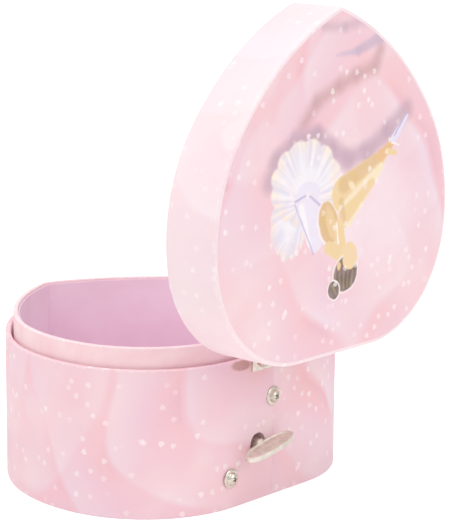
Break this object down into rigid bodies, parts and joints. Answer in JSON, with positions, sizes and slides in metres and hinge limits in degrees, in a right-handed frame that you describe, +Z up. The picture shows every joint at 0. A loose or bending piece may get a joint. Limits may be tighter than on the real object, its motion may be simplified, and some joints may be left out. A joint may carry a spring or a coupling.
{
  "type": "music box",
  "caption": "Heart-shaped paper-covered music box with an open hinged lid, a winding key and screws in the back wall, and a turning dancer inside.",
  "frame": {"origin": "centre of the footprint at the underside of the bottom board", "axes": "+Z up, -Y towards the pointed front tip, +Y towards the back wall that carries the hinge and the key; the lid is drawn open at its stop"},
  "size_m": [0.1432, 0.1672, 0.1988],
  "materials": {
    "printed_paper": "satin printed paper over card, soft petal print",
    "plain_paper": "plain satin paper over card",
    "lining_cloth": "short-nap flock lining",
    "nickel": "warm bright nickel plate",
    "movement_brass": "machined",
    "movement_steel": "ground",
    "mirror": "silvered glass",
    "turntable_plastic": "moulded",
    "figure_plastic": "moulded and painted",
    "tutu_net": "stiff net",
    "brake_felt": "pressed felt"
  },
  "bodies": {
    "root": {"base_shell": "printed_paper", "base_board": "plain_paper", "base_liner": "plain_paper", "wall_lining": "lining_cloth", "floor_pad": "lining_cloth", "partition_panel": "lining_cloth", "deck_panel": "plain_paper", "deck_lining": "lining_cloth", "hinge_base_leaf": "nickel", "hinge_pin": "nickel", "movement_screws": "nickel", "bedplate": "movement_brass", "barrel_bridge": "movement_brass", "bridge_screws": "movement_steel", "drum_bracket_near": "movement_brass", "drum_bracket_far": "movement_brass", "governor_frame": "movement_brass", "frame_screws": "movement_steel", "comb_block": "movement_brass", "comb": "movement_steel", "comb_screws": "movement_steel", "spindle_bracket": "movement_brass", "deck_bushing": "nickel", "stop_guide": "nickel", "stop_spring": "movement_steel"},
    "lid": {"lid_skirt": "printed_paper", "lid_top": "printed_paper", "lid_lining": "lining_cloth", "lid_panel": "lining_cloth", "lid_mirror": "mirror", "mirror_frame": "plain_paper", "hinge_lid_leaf": "nickel"},
    "key": {"winding_key": "nickel", "winding_arbor": "movement_steel"},
    "barrel": {"spring_barrel": "movement_brass", "mainspring": "movement_steel", "barrel_cap": "movement_brass"},
    "drum": {"tune_drum": "movement_brass", "drum_arbor": "movement_steel", "drum_pinion": "movement_brass", "drum_gear": "movement_brass"},
    "idler": {"idler_shaft": "movement_steel", "idler_pinion": "movement_brass", "worm_wheel": "movement_brass"},
    "governor": {"governor_worm": "movement_steel", "governor_fan": "movement_brass"},
    "dancer": {"dancer_spindle": "movement_steel", "spindle_pinion": "movement_brass", "dancer_turntable": "turntable_plastic", "dancer_spring": "nickel", "dancer_figure": "figure_plastic", "dancer_tutu": "tutu_net"},
    "stop": {"stop_rod": "nickel", "stop_knob": "nickel", "stop_pad": "brake_felt"}
  },
  "joints": [
    {"name": "lid_hinge", "type": "hinge", "parent": "root", "child": "lid", "pos_m": [0, 0.07302, 0.0584], "axis": [1, 0, 0], "range_deg": [0, 90]},
    {"name": "key_turn", "type": "hinge", "parent": "root", "child": "key", "pos_m": [0.0091, 0.06792, 0.0234], "axis": [0, 1, 0], "continuous": true},
    {"name": "barrel_turn", "type": "hinge", "parent": "root", "child": "barrel", "pos_m": [0.0091, 0.05157, 0.0234], "axis": [0, 1, 0], "continuous": true},
    {"name": "drum_turn", "type": "hinge", "parent": "root", "child": "drum", "pos_m": [-0.013, 0.05157, 0.0234], "axis": [1, 0, 0], "continuous": true},
    {"name": "idler_turn", "type": "hinge", "parent": "root", "child": "idler", "pos_m": [-0.027, 0.05157, 0.0134], "axis": [1, 0, 0], "continuous": true},
    {"name": "governor_turn", "type": "hinge", "parent": "root", "child": "governor", "pos_m": [-0.027, 0.04407, 0.0134], "axis": [0, 0, 1], "continuous": true},
    {"name": "dancer_turn", "type": "hinge", "parent": "root", "child": "dancer", "pos_m": [0.0091, 0.05157, 0.05], "axis": [0, 0, 1], "continuous": true},
    {"name": "stop_slide", "type": "slide", "parent": "root", "child": "stop", "axis": [0, 0, -1], "range_m": [0, 0.0031]}
  ],
  "couplings": [
    {"joint": "drum_turn", "follows": "barrel_turn", "ratio": 3},
    {"joint": "idler_turn", "follows": "barrel_turn", "ratio": -9},
    {"joint": "governor_turn", "follows": "barrel_turn", "ratio": -216},
    {"joint": "dancer_turn", "follows": "barrel_turn", "ratio": -3},
    {"joint": "stop_slide", "follows": "lid_hinge", "m_per_rad": 0.0019099}
  ]
}
